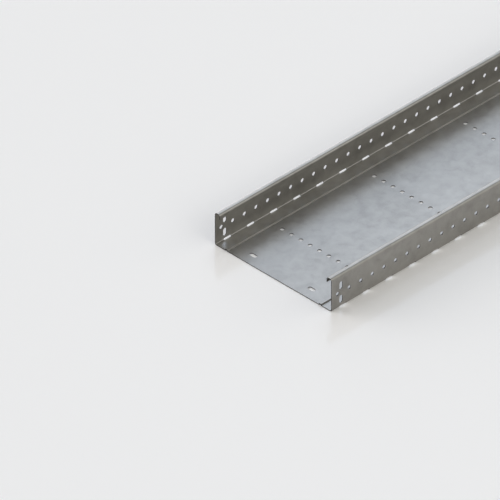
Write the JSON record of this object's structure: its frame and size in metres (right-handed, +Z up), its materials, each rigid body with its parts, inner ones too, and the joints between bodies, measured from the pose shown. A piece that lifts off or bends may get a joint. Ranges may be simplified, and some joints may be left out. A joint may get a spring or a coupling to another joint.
{
  "type": "perforated cable tray",
  "caption": "Open perforated cable tray of folded galvanised sheet, with inturned rims, punched walls, rows of floor holes and slots across its folds.",
  "frame": {"origin": "under the middle of the floor, on the underside's plane, halfway along the tray", "axes": "+X along the tray, +Y across it from one side wall to the other, +Z up out of its open top"},
  "size_m": [3, 0.25, 0.06],
  "materials": {
    "galvanised_sheet": "bright hot-dip galvanised sheet"
  },
  "bodies": {
    "root": {"cable_tray": "galvanised_sheet"}
  },
  "joints": []
}
